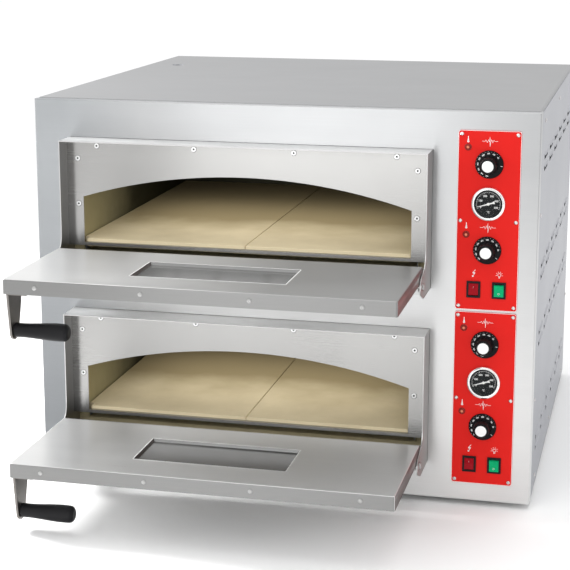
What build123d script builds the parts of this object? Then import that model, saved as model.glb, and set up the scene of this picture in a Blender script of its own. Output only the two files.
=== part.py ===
from build123d import *
import math
import os

# Double-deck electric countertop pizza oven, one node per piece that comes apart on a bench.
#
# Millimetres, +Z up, front towards -Y.  The origin is the centre of the footprint, doors open, on the
# plane that the feet stand on.  Levels inside a deck are heights above that deck's hood bottom.

# ---- driving dimensions: casing -----------------------------------------------------------------
body_w, body_d, body_h = 975.0, 924.0, 745.0
foot_h = 10.0
foot_inset = 75.0
sheet = 1.5
fascia_return = 30.0
tab_reach, tab_low, tab_high = 25.0, 40.0, 50.0
screw_head, screw_hole_r = 2.0, 2.2
vent_left, vent_deep, vent_r, vent_wall, vent_l = 415.0, 700.0, 13.5, 1.0, 61.5
gland_x, gland_up, gland_out, gland_r = 380.0, 90.0, 25.0, 7.0
side_screw_runs = (100.0, 468.0, 836.0)
side_screw_edge = 25.0
side_screw_heights = (195.0, 550.0)
louvre_runs = [140.0 + 131.0 * i for i in range(6)]
rear_slot_drops = (120.0, 142.0, 460.0, 482.0)

# ---- driving dimensions: decks ------------------------------------------------------------------
deck_x = -62.0
deck_pitch = 340.0
first_deck = foot_h + 71.0

hood_w, hood_h, hood_out = 708.0, 262.0, 62.0
cheek_t, flange_w = 2.0, 24.0
mouth_set_back = 38.0
mouth_w, mouth_low, mouth_spring, mouth_crown = 640.0, 60.0, 150.0, 199.0
sill_lip, sill_hem = 8.0, 6.0

tile_top, tile_t = 66.0, 15.0
chamber_w, chamber_d, chamber_top = 660.0, 700.0, 206.0
element_gap = 8.0
lamp_x, lamp_up, lamp_r = 250.0, 150.0, 16.0

# ---- driving dimensions: doors ------------------------------------------------------------------
door_w, door_l, door_t = 702.0, 268.0, 27.0
door_face = 59.0
door_rear = 83.0
pivot_out, pivot_up, pivot_r = 97.0, 25.0, 4.0
running = 0.05
stop_out, stop_r, stop_clear = 117.0, 2.8, 0.4
window_w, window_l, window_drop, window_slope, pane_t = 283.0, 116.0, 5.0, 3.0, 4.0
door_corner = 3.0
lug_t, lug_r = 3.0, 9.0
arm_t, tab_t, arm_inset = 4.0, 3.0, 4.0
bracket_half, bracket_bolt, bolt_r = 30.0, 16.0, 3.1
grip_up, grip_l, grip_r0, grip_r1 = -41.0, 102.0, 13.0, 16.0

# ---- driving dimensions: controls ---------------------------------------------------------------
plate_w, plate_h, plate_t, plate_x = 115.0, 336.0, 2.0, 396.0
plate_mid = 132.0
knob_heights = {"top_heat": 106.0, "floor_heat": -54.0}
knob_flutes = 14
skirt_r, skirt_t, knob_l, cap_r, cap_gap = 26.0, 5.0, 28.0, 10.5, 0.05
spindle_r = 3.0
gauge_up, gauge_r, gauge_case_r = 33.0, 32.0, 26.0
needle_turn, needle_l, needle_tail = 107.0, 21.0, 12.0
switch_up, switch_gap = -129.0, 23.5
rocker_w, rocker_h, rocker_pivot, rocker_tip, rocker_pin_r = 17.6, 22.4, 3.0, 7.0, 2.0
pilot_x, pilot_heights, pilot_r = -39.5, (137.0, -25.5), 4.4

# ---- derived places -----------------------------------------------------------------------------
door_reach = door_rear + door_l + screw_head
front = (door_reach - body_d - gland_out) / 2
half_w = body_w / 2
top_z = foot_h + body_h
back = front + body_d
casing_x = half_w - sheet
decks = {"lower": first_deck, "upper": first_deck + deck_pitch}
vent_x, vent_y = -vent_left, front + vent_deep
gland_z = foot_h + gland_up

mouth_y = front - hood_out + mouth_set_back
chamber_y0 = mouth_y + sheet
chamber_y1 = chamber_y0 + chamber_d

door_y1 = front - door_rear
door_y0 = door_y1 - door_l
door_mid_y = (door_y0 + door_y1) / 2
pivot_y = front - pivot_out
stop_y, stop_up = front - stop_out, door_face - door_t - stop_r - stop_clear
arm_x0 = deck_x - door_w / 2 + arm_inset
grip_x0 = arm_x0 + arm_t
bracket_y, grip_y = door_y0 + 36.0, door_y0 + 33.0

loom_xs = [plate_x - 13.5 + 9 * i for i in range(4)]
loom_low = foot_h + 25.0
block_y0, block_y1 = back - 150.0, back - 110.0

mouth_screw_places = [(x, 249.5) for x in (-291, -97, 97, 291)]
mouth_screw_places += [(side * 330, z) for side in (-1, 1) for z in (136, 224.5)]
door_screw_x = (-291, -97, 97, 291)
plate_screw_places = [(side * 51, z) for side in (-1, 1) for z in (-161, 0, 161)]
louvre_drops = [deck_pitch * d + drop for d in (0, 1) for drop in (95, 117, 304, 326)]


# ---- small helpers, used inside a BuildPart -----------------------------------------------------
def block(x0, x1, y0, y1, z0, z1, mode=Mode.ADD):
    """A box between two corners."""
    with Locations(((x0 + x1) / 2, (y0 + y1) / 2, (z0 + z1) / 2)):
        Box(x1 - x0, y1 - y0, z1 - z0, mode=mode)


def rod_x(x0, x1, y, z, r, mode=Mode.ADD):
    """A cylinder along X."""
    with Locations(Location(((x0 + x1) / 2, y, z), (0, 90, 0))):
        Cylinder(r, x1 - x0, mode=mode)


def rod_y(x, z, y0, y1, r, mode=Mode.ADD):
    """A cylinder along Y."""
    with Locations(Location((x, (y0 + y1) / 2, z), (90, 0, 0))):
        Cylinder(r, y1 - y0, mode=mode)


def save(builder, name):
    """Labels one finished piece and writes it as its own STEP file."""
    builder.part.label = name
    export_step(builder.part, f"parts/{name}.step")


def revolved(points, plane):
    """A solid of revolution about the plane's local Y axis, from (radius, height) points."""
    with BuildSketch(plane) as profile:
        with BuildLine():
            Polyline(*points, close=True)
        make_face()
    revolve(profile.sketch, axis=Axis(plane.origin, plane.y_dir))


def facing_front(x, y, z):
    """A plane through a point whose local Y axis points out of the front, towards -Y."""
    return Plane(origin=(x, y, z), x_dir=(1, 0, 0), z_dir=(0, 0, -1))


def facing_side(x, y, z, side):
    """A plane through a point whose local Y axis points out along X, side being +1 or -1."""
    return Plane(origin=(x, y, z), x_dir=(0, 1, 0), z_dir=(0, 0, -side))


# ---- casing -------------------------------------------------------------------------------------
def fascia():
    with BuildPart() as part:
        block(-half_w, half_w, front, front + fascia_return, foot_h, top_z)
        fillet(part.edges().group_by(Axis.Y)[0], 2.0)
        block(-half_w + sheet, half_w - sheet, front + sheet, front + fascia_return,
              foot_h + sheet, top_z - sheet, mode=Mode.SUBTRACT)
        for side in (-1, 1):
            edge = sorted((side * casing_x, side * (casing_x - sheet)))
            block(*edge, front + fascia_return - 6, front + fascia_return + tab_reach, foot_h + tab_low,
                  top_z - tab_high)
        casing_screw_holes()
        gap = 0.5
        for deck in decks.values():
            block(deck_x - hood_w / 2 - gap, deck_x + hood_w / 2 + gap, front - 5, front + 5,
                  deck - gap, deck + hood_h + gap, mode=Mode.SUBTRACT)
            control_holes(deck + plate_mid)
    save(part, "fascia")


def control_holes(mid):
    """Openings for the controls of one deck, through the fascia and the coloured plate."""
    near, far = front - 5, front + 5
    switch_half_w, switch_half_h = 11, 14
    for up in knob_heights.values():
        rod_y(plate_x, mid + up, near, far, spindle_r + 2, mode=Mode.SUBTRACT)
    rod_y(plate_x, mid + gauge_up, near, far, gauge_case_r + 1, mode=Mode.SUBTRACT)
    for side in (-1, 1):
        x = plate_x + side * switch_gap
        z = mid + switch_up
        block(x - switch_half_w, x + switch_half_w, near, far, z - switch_half_h, z + switch_half_h,
              mode=Mode.SUBTRACT)
    for up in pilot_heights:
        rod_y(plate_x + pilot_x, mid + up, near, far, pilot_r + 0.2, mode=Mode.SUBTRACT)
    for x, up in plate_screw_places:
        rod_y(plate_x + x, mid + up, near, far, 1.8, mode=Mode.SUBTRACT)


def top_cover():
    """Roof sheet with turned-down sides, a lapped front edge and a steam outlet hole."""
    lap, turn_down = 12.0, 45.0
    y0, low = front + fascia_return - lap, top_z - turn_down
    with BuildPart() as part:
        block(-casing_x, casing_x, y0, back - sheet, low, top_z + sheet)
        fillet(part.edges().filter_by(Axis.Y).group_by(Axis.Z)[-1], 3.0)
        fillet(part.edges().group_by(Axis.Y)[0].group_by(Axis.Z)[-1], 1.0)
        block(-casing_x + sheet, casing_x - sheet, y0 - 1, back, low - 1, top_z, mode=Mode.SUBTRACT)
        block(-half_w, half_w, y0 - 1, front + fascia_return, low - 1, top_z, mode=Mode.SUBTRACT)
        with Locations((vent_x, vent_y, top_z)):
            Cylinder(vent_r + vent_wall + 0.5, 20, mode=Mode.SUBTRACT)
        casing_screw_holes()
    save(part, "top_cover")


def steam_outlet():
    """Short flanged pipe that ends flush with the roof sheet, in its hole."""
    flange_r, flange_t = 24.0, 2.0
    with BuildPart() as part:
        with Locations((vent_x, vent_y, top_z - flange_t / 2)):
            Cylinder(flange_r, flange_t)
        with Locations((vent_x, vent_y, top_z + sheet - vent_l / 2)):
            Cylinder(vent_r + vent_wall, vent_l)
            Cylinder(vent_r, vent_l + 2, mode=Mode.SUBTRACT)
    save(part, "steam_outlet")


def louvre(x, y, z, side):
    """One pressed louvre: a slot under a slim sloping lip."""
    length, slot, out = 80.0, 9.5, 2.2
    edge = z + slot / 2
    near, far = sorted((x, x - side * 2))
    block(near, far, y - length / 2, y + length / 2, z - slot / 2, edge, mode=Mode.SUBTRACT)
    with BuildSketch(Plane.XZ.offset(-(y + length / 2))) as profile:
        with BuildLine():
            Polyline((x - side * sheet, edge), (x - side * sheet, edge + sheet), (x, edge + sheet),
                     (x + side * out, edge - 0.9), (x + side * (out - 1), edge - 1.4),
                     (x - side * 0.6, edge), close=True)
        make_face()
    extrude(profile.sketch, amount=length)


def side_panel(side, name):
    """Louvred side sheet, lapped over the turned edges of the roof, fascia and base."""
    inner, outer = casing_x, casing_x + sheet
    x0, x1 = (inner, outer) if side > 0 else (-outer, -inner)
    with BuildPart() as part:
        block(x0, x1, front + fascia_return, back, foot_h + 2, top_z - 3)
        for run in louvre_runs:
            for drop in louvre_drops:
                louvre(side * outer, front + run, top_z - drop, side)
        casing_screw_holes()
    save(part, name)


def side_screw_points():
    """Where the screws of one side panel go, as (y, z)."""
    low, high = foot_h + side_screw_edge, top_z - side_screw_edge
    points = [(front + run, z) for run in side_screw_runs for z in (low, high)]
    columns = (front + fascia_return + 12, back - 12)
    return points + [(y, top_z - drop) for y in columns for drop in side_screw_heights]


def back_panel():
    with BuildPart() as part:
        block(-casing_x, casing_x, back - sheet, back, foot_h + 2, top_z - 3)
        for drop in rear_slot_drops:
            with Locations(Location((deck_x, back - sheet / 2, top_z - drop))):
                with GridLocations(110, 1, 5, 1):
                    Box(80, 4, 6, mode=Mode.SUBTRACT)
        rod_y(gland_x, gland_z, back - 5, back + 5, 12.0, mode=Mode.SUBTRACT)
        for side in (-1, 1):
            edge = sorted((side * casing_x, side * (casing_x - sheet)))
            block(*edge, back - tab_reach, back - sheet, foot_h + tab_low, top_z - tab_high)
        casing_screw_holes()
    save(part, "back_panel")


def back_screw_points():
    """Where the screws of the back panel go, as (x, z)."""
    xs, zs = (-430, 0, 430), (foot_h + 25, top_z - 25)
    return [(x, z) for x in xs for z in zs] + [(x, foot_h + 372) for x in (-470, 470)]


def base_pan():
    """Folded tray that carries the decks, its edges turned up inside the side panels."""
    y0, y1, rim = front + sheet + 0.2, back - sheet, 35.0
    with BuildPart() as part:
        block(-casing_x, casing_x, y0, y1, foot_h + sheet, foot_h + rim)
        block(-casing_x + sheet, casing_x - sheet, y0 + sheet, y1 - sheet, foot_h + 2 * sheet,
              foot_h + rim + 1, mode=Mode.SUBTRACT)
        casing_screw_holes()
    save(part, "base_pan")


def casing_screw_holes():
    """Holes for every screw that holds the side and back panels."""
    reach = 6.0
    for side in (-1, 1):
        for y, z in side_screw_points():
            rod_x(side * half_w - reach, side * half_w + reach, y, z, screw_hole_r, mode=Mode.SUBTRACT)
    for x, z in back_screw_points():
        rod_y(x, z, back - reach, back + reach, screw_hole_r, mode=Mode.SUBTRACT)


def rubber_feet():
    with BuildPart() as part:
        for x in (-half_w + foot_inset, half_w - foot_inset):
            for y in (front + foot_inset, back - foot_inset):
                foot = Plane(origin=(x, y, 0), x_dir=(1, 0, 0), z_dir=(0, -1, 0))
                revolved([(0, 0), (19, 0), (21, 1.5), (22, foot_h + sheet), (0, foot_h + sheet)], foot)
    save(part, "rubber_feet")


def pan_head(plane, head_r=4.0, shank_r=2.0, shank=8.0):
    """Domed screw with a recess in its head, seated on the plane, pointing out along its Y axis."""
    rise = screw_head
    revolved([(0, -shank), (shank_r, -shank), (shank_r, 0), (head_r, 0), (head_r, rise * 0.4),
              (head_r * 0.55, rise), (0.9, rise), (0.9, rise * 0.35), (0, rise * 0.35)], plane)


def casing_screws():
    with BuildPart() as part:
        for side in (-1, 1):
            for y, z in side_screw_points():
                pan_head(facing_side(side * half_w, y, z, side))
        for x, z in back_screw_points():
            out = Plane(origin=(x, back, z), x_dir=(1, 0, 0), z_dir=(0, 0, 1))
            pan_head(out)
    save(part, "casing_screws")


def cable_gland():
    """Threaded gland that a supply cable would enter through."""
    with BuildPart() as part:
        rod_y(gland_x, gland_z, back - 14, back + 18, 11.5)
        rod_y(gland_x, gland_z, back, back + 8, 16.0)
        nut = Plane(origin=(gland_x, back + 8, gland_z), x_dir=(1, 0, 0), z_dir=(0, 1, 0))
        with BuildSketch(nut):
            RegularPolygon(15.0, 6)
        extrude(amount=gland_out - 10)
        rod_y(gland_x, gland_z, back + gland_out - 4, back + gland_out, 11.0)
        rod_y(gland_x, gland_z, back - 20, back + 40, gland_r, mode=Mode.SUBTRACT)
    save(part, "cable_gland")


# ---- hood, mouth and baking chamber of each deck ------------------------------------------------
def cheek(x0, deck):
    """Side plate of the hood: a straight front edge that swells into the ear holding the hinge pin."""
    py, pz = pivot_y, deck + pivot_up
    with BuildSketch(Plane.YZ.offset(x0)) as profile:
        with BuildLine():
            Polyline((front + 8, deck), (front - 84, deck), (py - 22, deck + 14), (py - 26, deck + 22),
                     (py - 26, deck + 34), (py - 18, deck + 42))
            Spline((py - 18, deck + 42), (front - hood_out - 14, deck + 54), (front - hood_out, deck + 84),
                   tangents=((1, 0.7), (0, 1)))
            Polyline((front - hood_out, deck + 84), (front - hood_out, deck + hood_h - sheet),
                     (front + 8, deck + hood_h - sheet), (front + 8, deck))
        make_face()
        with Locations((py, pz)):
            Circle(pivot_r, mode=Mode.SUBTRACT)
        with Locations((stop_y, deck + stop_up)):
            Circle(stop_r, mode=Mode.SUBTRACT)
    extrude(profile.sketch, amount=cheek_t)


def hood(which, deck):
    """Projecting surround: roof plate, two cheeks with hinge ears, floor, kick plate and screw flanges."""
    x0, x1 = deck_x - hood_w / 2, deck_x + hood_w / 2
    in0, in1 = x0 + cheek_t, x1 - cheek_t
    y0, y1 = front - hood_out, front + 8
    kick_y, kick_h = front - 56, 50
    flange_y, flange_low, roof = mouth_y + sheet, deck + mouth_low - 4, deck + hood_h - sheet
    with BuildPart() as part:
        cheek(x0, deck)
        cheek(in1, deck)
        block(x0, x1, y0, y1, roof, deck + hood_h)
        block(in0, in1, kick_y, y1, deck, deck + sheet)
        block(in0, in1, kick_y - sheet, kick_y, deck, deck + kick_h)
        block(in0, in0 + flange_w, flange_y, flange_y + sheet, flange_low, roof)
        block(in1 - flange_w, in1, flange_y, flange_y + sheet, flange_low, roof)
        block(in0, in1, flange_y, flange_y + sheet, roof + sheet - flange_w, roof)
        for x, z in mouth_screw_places:
            rod_y(deck_x + x, deck + z, flange_y - 1, flange_y + 3, 2.1, mode=Mode.SUBTRACT)
    save(part, f"{which}_hood")


def mouth_plate(which, deck):
    """Front plate with the arched mouth and a turned lip along its sill."""
    wide, x = hood_w / 2 - cheek_t, deck_x
    half = mouth_w / 2
    low, high = deck + mouth_low - sill_hem, deck + hood_h - sheet
    with BuildPart() as part:
        with BuildSketch(Plane.XZ.offset(-mouth_y)):
            with BuildLine():
                Polyline((x - wide, low), (x + wide, low), (x + wide, high), (x - wide, high), close=True)
            make_face()
            with BuildLine():
                Polyline((x - half, deck + mouth_spring), (x - half, deck + mouth_low),
                         (x + half, deck + mouth_low), (x + half, deck + mouth_spring))
                ThreePointArc((x + half, deck + mouth_spring), (x, deck + mouth_crown),
                              (x - half, deck + mouth_spring))
            make_face(mode=Mode.SUBTRACT)
        extrude(amount=-sheet)
        block(x - half, x + half, mouth_y, mouth_y + sill_lip, deck + mouth_low - sheet, deck + mouth_low)
        for dx, z in mouth_screw_places:
            rod_y(x + dx, deck + z, mouth_y - 1, mouth_y + 3, 2.3, mode=Mode.SUBTRACT)
            with Locations(Location((x + dx, mouth_y + 0.65, deck + z), (90, 0, 0))):
                Cone(2.3, 5.6, 1.3, mode=Mode.SUBTRACT)
    save(part, f"{which}_mouth_plate")


def mouth_plate_screws():
    """Countersunk socket screws of both mouth plates."""
    with BuildPart() as part:
        for deck in decks.values():
            for dx, z in mouth_screw_places:
                seat = facing_front(deck_x + dx, mouth_y, deck + z)
                revolved([(0, -9), (2, -9), (2, -1.3), (5.2, -0.1), (5.2, 0.2), (4.4, 0.6), (1.9, 0.6),
                          (1.9, -0.6), (0, -0.6)], seat)
    save(part, "mouth_plate_screws")


def chamber_liner(which, deck):
    """Welded liner of one baking chamber: roof, sides and back, open at the front and below."""
    half = chamber_w / 2
    y0, y1 = front + 2, chamber_y1
    low, roof = deck + 36, deck + chamber_top
    with BuildPart() as part:
        block(deck_x - half - sheet, deck_x - half, y0, y1, low, roof)
        block(deck_x + half, deck_x + half + sheet, y0, y1, low, roof)
        block(deck_x - half - sheet, deck_x + half + sheet, y0, y1, roof, roof + sheet)
        block(deck_x - half - sheet, deck_x + half + sheet, y1, y1 + sheet, low, roof + sheet)
        rod_y(deck_x + lamp_x, deck + lamp_up, y1 - 5, y1 + 5, 17.0, mode=Mode.SUBTRACT)
    save(part, f"{which}_chamber_liner")


def chamber_lamps():
    """Lamp holders of both decks, set into the back wall, and their glass covers."""
    y = chamber_y1 + sheet
    with BuildPart() as holders:
        for deck in decks.values():
            x, z = deck_x + lamp_x, deck + lamp_up
            rod_y(x, z, y - sheet, y + 34, lamp_r)
            rod_y(x, z, y - sheet - 3, y - sheet, 24.0)
            rod_y(x, z, y - sheet - 5, y + 30, 13.0, mode=Mode.SUBTRACT)
    save(holders, "chamber_lamp_holders")
    with BuildPart() as glasses:
        for deck in decks.values():
            seat = facing_front(deck_x + lamp_x, y - sheet - 3, deck + lamp_up)
            revolved([(0, 0), (22, 0), (22, 2), (17, 9), (9, 13), (0, 14)], seat)
    save(glasses, "chamber_lamp_glasses")


def floor_tiles():
    """Two refractory slabs in each deck, with a fine joint between them and a notch at the mouth."""
    half, mouth, joint = chamber_w / 2 - 2, mouth_w / 2 - 2, 0.8
    y0, y1 = mouth_y + sill_lip + 1, chamber_y1 - 3
    with BuildPart() as part:
        for deck in decks.values():
            with BuildSketch(Plane.XY.offset(deck + tile_top - tile_t)):
                for side in (-1, 1):
                    with BuildLine():
                        Polyline((deck_x + side * joint, y0), (deck_x + side * mouth, y0),
                                 (deck_x + side * mouth, front + 3), (deck_x + side * half, front + 3),
                                 (deck_x + side * half, y1), (deck_x + side * joint, y1), close=True)
                    make_face()
            extrude(amount=tile_t)
        tops = part.edges().filter_by(lambda e: abs(e.center().Z - e.vertices()[0].Z) < 0.01)
        for deck in decks.values():
            chamfer([e for e in tops if abs(e.center().Z - deck - tile_top) < 0.01], 0.8)
    save(part, "floor_tiles")


def floor_trays():
    """Sheet trays that carry the tiles above the lower elements."""
    half = chamber_w / 2 - 1
    with BuildPart() as part:
        for deck in decks.values():
            z = deck + tile_top - tile_t
            block(deck_x - half, deck_x + half, front + 4, chamber_y1 - 2, z - sheet, z)
            for x in (-half, half - sheet):
                block(deck_x + x, deck_x + x + sheet, front + 4, chamber_y1 - 2, z - 12, z - sheet)
    save(part, "floor_trays")


def hairpin(x, y0, y1, z):
    """One tubular heating element: two legs joined by a half turn."""
    gap, rod = 45.0, 4.0
    with BuildLine() as line:
        Line((x - gap, y1, z), (x - gap, y0 + gap, z))
        ThreePointArc((x - gap, y0 + gap, z), (x, y0, z), (x + gap, y0 + gap, z))
        Line((x + gap, y0 + gap, z), (x + gap, y1, z))
    start = Plane(origin=(x - gap, y1, z), z_dir=(0, -1, 0))
    with BuildSketch(start) as ring:
        Circle(rod)
    sweep(sections=ring.sketch, path=line.wires()[0])


def heating_elements():
    """Roof and floor elements, three hairpins each in every deck."""
    with BuildPart() as part:
        for deck in decks.values():
            for x in (-205, 0, 205):
                hairpin(deck_x + x, front + 60, chamber_y1, deck + chamber_top - element_gap)
                hairpin(deck_x + x, front + 60, chamber_y1, deck + tile_top - tile_t - element_gap)
    save(part, "heating_elements")


def deck_rails():
    """Folded rails across the casing, two under each chamber."""
    rise, flange = 30.0, 15.0
    with BuildPart() as part:
        for deck in decks.values():
            for run in (170.0, 640.0):
                top, y = deck + 6, front + run
                block(-casing_x, casing_x, y - flange, y + flange, top - rise, top)
                block(-casing_x - 1, casing_x + 1, y - flange + sheet, y + flange - sheet, top - rise - 1,
                      top - sheet, mode=Mode.SUBTRACT)
    save(part, "deck_rails")


def terminal_block():
    """Supply terminal block on the base tray, ribbed between its clamps."""
    floor = foot_h + 2 * sheet
    with BuildPart() as part:
        block(loom_xs[0] - 12, loom_xs[-1] + 12, block_y0, block_y1, floor, floor + 24)
        for x in loom_xs:
            block(x - 3, x + 3, block_y0 + 6, block_y1 - 6, floor + 20, floor + 25, mode=Mode.SUBTRACT)
            with Locations((x, (block_y0 + block_y1) / 2, floor + 15)):
                Cylinder(2.0, 12, mode=Mode.SUBTRACT)
    save(part, "terminal_block")


def wiring_looms():
    """Sleeved wires from the terminal block to each thermostat."""
    sleeve, bend = 3.0, 18.0
    heights = [deck + plate_mid + up for deck in decks.values() for up in knob_heights.values()]
    with BuildPart() as part:
        for i, (x, z) in enumerate(zip(loom_xs, heights)):
            y = front + 80 + 9 * i
            with BuildLine() as route:
                FilletPolyline((x, front + 40, z), (x, y, z), (x, y, loom_low), (x, block_y0, loom_low),
                               radius=bend)
            with BuildSketch(Plane(origin=(x, front + 40, z), z_dir=(0, 1, 0))) as ring:
                Circle(sleeve)
            sweep(ring.sketch, path=route.wires()[0])
    save(part, "wiring_looms")


def insulation():
    """Mineral wool jackets round the chambers, one block for each deck."""
    side, rear = 46.0, 70.0
    half = chamber_w / 2 + sheet + 0.5
    with BuildPart() as part:
        for deck in decks.values():
            block(deck_x - half - side, deck_x + half + side, front + 9, chamber_y1 + rear, deck + 6,
                  deck + hood_h - 4)
            block(deck_x - half, deck_x + half, front - 50, chamber_y1 + 2, deck + 34,
                  deck + chamber_top + 2, mode=Mode.SUBTRACT)
            rod_y(deck_x + lamp_x, deck + lamp_up, chamber_y1 - 5, chamber_y1 + 40, 18.0,
                  mode=Mode.SUBTRACT)
    save(part, "insulation_jackets")


# ---- doors --------------------------------------------------------------------------------------
def window_funnel(top, grow, mode):
    """The sloping sides of the window's recess, which narrow downwards to the pane."""
    with BuildSketch(Plane.XY.offset(top)) as wide:
        with Locations((deck_x, door_mid_y)):
            Rectangle(window_w + 2 * grow, window_l + 2 * grow)
    with BuildSketch(Plane.XY.offset(top - window_drop)) as narrow:
        with Locations((deck_x, door_mid_y)):
            Rectangle(window_w - 2 * window_slope + 2 * grow, window_l - 2 * window_slope + 2 * grow)
    loft(sections=[wide.sketch, narrow.sketch], mode=mode)


def door_inner_skin(which, deck):
    """Baking-side sheet of the door: turned edges all round and a sunk window opening."""
    top = deck + door_face
    low = top - door_t + sheet
    x0, x1 = deck_x - door_w / 2, deck_x + door_w / 2
    with BuildPart() as part:
        block(x0, x1, door_y0, door_y1, low, top)
        fillet(part.edges().filter_by(Axis.Z).group_by(Axis.Y)[0], door_corner)
        fillet(part.edges().group_by(Axis.Z)[-1], 2.0)
        block(x0 + sheet, x1 - sheet, door_y0 + sheet, door_y1 - sheet, low - 1, top - sheet,
              mode=Mode.SUBTRACT)
        window_funnel(top, sheet, Mode.ADD)
        window_funnel(top, 0, Mode.SUBTRACT)
        for x in door_screw_x:
            rod_y(deck_x + x, top - door_t / 2, door_y0 - 1, door_y0 + 3, 2.1, mode=Mode.SUBTRACT)
    save(part, f"{which}_door_inner_skin")


def door_outer_skin(which, deck):
    """Room-side sheet of the door, with the second window opening and a lug at each end for the pin."""
    low = deck + door_face - door_t
    x0, x1 = deck_x - door_w / 2, deck_x + door_w / 2
    wx, wy = window_w / 2 - 6, window_l / 2 - 6
    with BuildPart() as part:
        block(x0, x1, door_y0, door_y1, low, low + sheet)
        fillet(part.edges().filter_by(Axis.Z).group_by(Axis.Y)[0], door_corner)
        block(deck_x - wx, deck_x + wx, door_mid_y - wy, door_mid_y + wy, low - 1, low + 2,
              mode=Mode.SUBTRACT)
        inset = sheet + 0.2
        block(x0 + inset, x1 - inset, door_y0 + inset, door_y0 + inset + sheet, low, low + 20)
        block(x0 + inset, x1 - inset, door_y1 - inset - sheet, door_y1 - inset, low, low + 20)
        for side in (-1, 1):
            outer = deck_x + side * (door_w / 2 - sheet - 0.2)
            with BuildSketch(Plane.YZ.offset(outer)):
                with BuildLine():
                    Polyline((pivot_y - lug_r, low + 8), (pivot_y - lug_r, deck + pivot_up))
                    ThreePointArc((pivot_y - lug_r, deck + pivot_up), (pivot_y, deck + pivot_up - lug_r),
                                  (pivot_y + lug_r, deck + pivot_up))
                    Polyline((pivot_y + lug_r, deck + pivot_up), (pivot_y + lug_r, low + 8),
                             (pivot_y - lug_r, low + 8))
                make_face()
            extrude(amount=-side * lug_t)
            rod_x(outer - 6, outer + 6, pivot_y, deck + pivot_up, pivot_r + running, mode=Mode.SUBTRACT)
        for x in door_screw_x:
            rod_y(deck_x + x, low + door_t / 2, door_y0 - 1, door_y0 + 6, 2.1, mode=Mode.SUBTRACT)
    save(part, f"{which}_door_outer_skin")


def door_glass(which, deck):
    """Inner and outer panes of the door's window."""
    top, low = deck + door_face, deck + door_face - door_t
    wx, wy = window_w / 2, window_l / 2
    with BuildPart() as part:
        block(deck_x - wx, deck_x + wx, door_mid_y - wy, door_mid_y + wy, top - window_drop - pane_t,
              top - window_drop)
        block(deck_x - wx, deck_x + wx, door_mid_y - wy, door_mid_y + wy, low + sheet, low + sheet + pane_t)
    save(part, f"{which}_door_glass")


def door_insulation(which, deck):
    """Wool filling between the door's skins, cut away round the window and the hinge lugs."""
    low = deck + door_face - door_t + sheet
    high = deck + door_face - sheet
    x0, x1 = deck_x - door_w / 2, deck_x + door_w / 2
    wx, wy = window_w / 2 + 1, window_l / 2 + 1
    with BuildPart() as part:
        block(x0 + 8, x1 - 8, door_y0 + 10, door_y1 - 5, low, high)
        block(deck_x - wx, deck_x + wx, door_mid_y - wy, door_mid_y + wy, low - 1, high + 1,
              mode=Mode.SUBTRACT)
        for side in (-1, 1):
            x = deck_x + side * door_w / 2
            block(x - 20, x + 20, pivot_y - 14, door_y1, low - 1, high + 1, mode=Mode.SUBTRACT)
    save(part, f"{which}_door_insulation")


def door_fasteners(which, deck):
    """Screws of the door's front flange, of the handle bracket, and the bolt into the grip."""
    mid = deck + door_face - door_t / 2
    under = deck + door_face - door_t
    with BuildPart() as part:
        for x in door_screw_x:
            pan_head(facing_front(deck_x + x, door_y0, mid), shank=6.0)
        for dy in (-bracket_bolt, bracket_bolt):
            down = Plane(origin=(grip_x0 + 18, bracket_y + dy, under - tab_t), x_dir=(1, 0, 0),
                         z_dir=(0, 1, 0))
            pan_head(down, shank=tab_t - 0.2)
        bolt = facing_side(arm_x0, grip_y, deck + grip_up, -1)
        revolved([(0, -arm_t - 26), (3, -arm_t - 26), (3, 0), (6.5, 0), (6.5, 3), (5, 4.5), (0, 4.5)], bolt)
    save(part, f"{which}_door_fasteners")


def handle_bracket(which, deck):
    """Folded steel bracket: a tab under the door and a tapering arm that carries the grip."""
    under = deck + door_face - door_t
    gz = deck + grip_up
    with BuildPart() as part:
        with BuildSketch(Plane.YZ.offset(arm_x0)):
            with BuildLine():
                Polyline((bracket_y - bracket_half, under), (bracket_y - 27, under - 26), (grip_y - 17, gz),
                         (grip_y - 16, gz - 6))
                ThreePointArc((grip_y - 16, gz - 6), (grip_y, gz - 17), (grip_y + 16, gz - 6))
                Polyline((grip_y + 16, gz - 6), (grip_y + 17, gz), (bracket_y + 27, under - 26),
                         (bracket_y + bracket_half, under), (bracket_y - bracket_half, under))
            make_face()
            with Locations((grip_y, gz)):
                Circle(bolt_r, mode=Mode.SUBTRACT)
        extrude(amount=arm_t)
        block(arm_x0, grip_x0 + 34, bracket_y - bracket_half, bracket_y + bracket_half, under - tab_t, under)
        for dy in (-bracket_bolt, bracket_bolt):
            with Locations((grip_x0 + 18, bracket_y + dy, under)):
                Cylinder(2.1, 20, mode=Mode.SUBTRACT)
    save(part, f"{which}_handle_bracket")


def handle_grip(which, deck):
    """Moulded grip, thicker towards its rounded free end."""
    out = Plane(origin=(grip_x0, grip_y, deck + grip_up), x_dir=(0, 1, 0), z_dir=(0, 0, -1))
    r0, r1, depth = grip_r0, grip_r1, 28
    with BuildPart() as part:
        with BuildSketch(out):
            with BuildLine():
                Polyline((bolt_r, depth), (bolt_r, 0), (r0 - 1, 0), (r0, 1.5))
                Spline((r0, 1.5), (r0 + 1.4, grip_l * 0.45), (r1, grip_l * 0.8), (r1 - 0.4, grip_l - 9))
                ThreePointArc((r1 - 0.4, grip_l - 9), (r1 - 3.5, grip_l - 2.2), (r1 - 9, grip_l))
                Polyline((r1 - 9, grip_l), (0, grip_l), (0, depth), (bolt_r, depth))
            make_face()
        revolve(axis=Axis(out.origin, out.y_dir))
    save(part, f"{which}_handle_grip")


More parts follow.
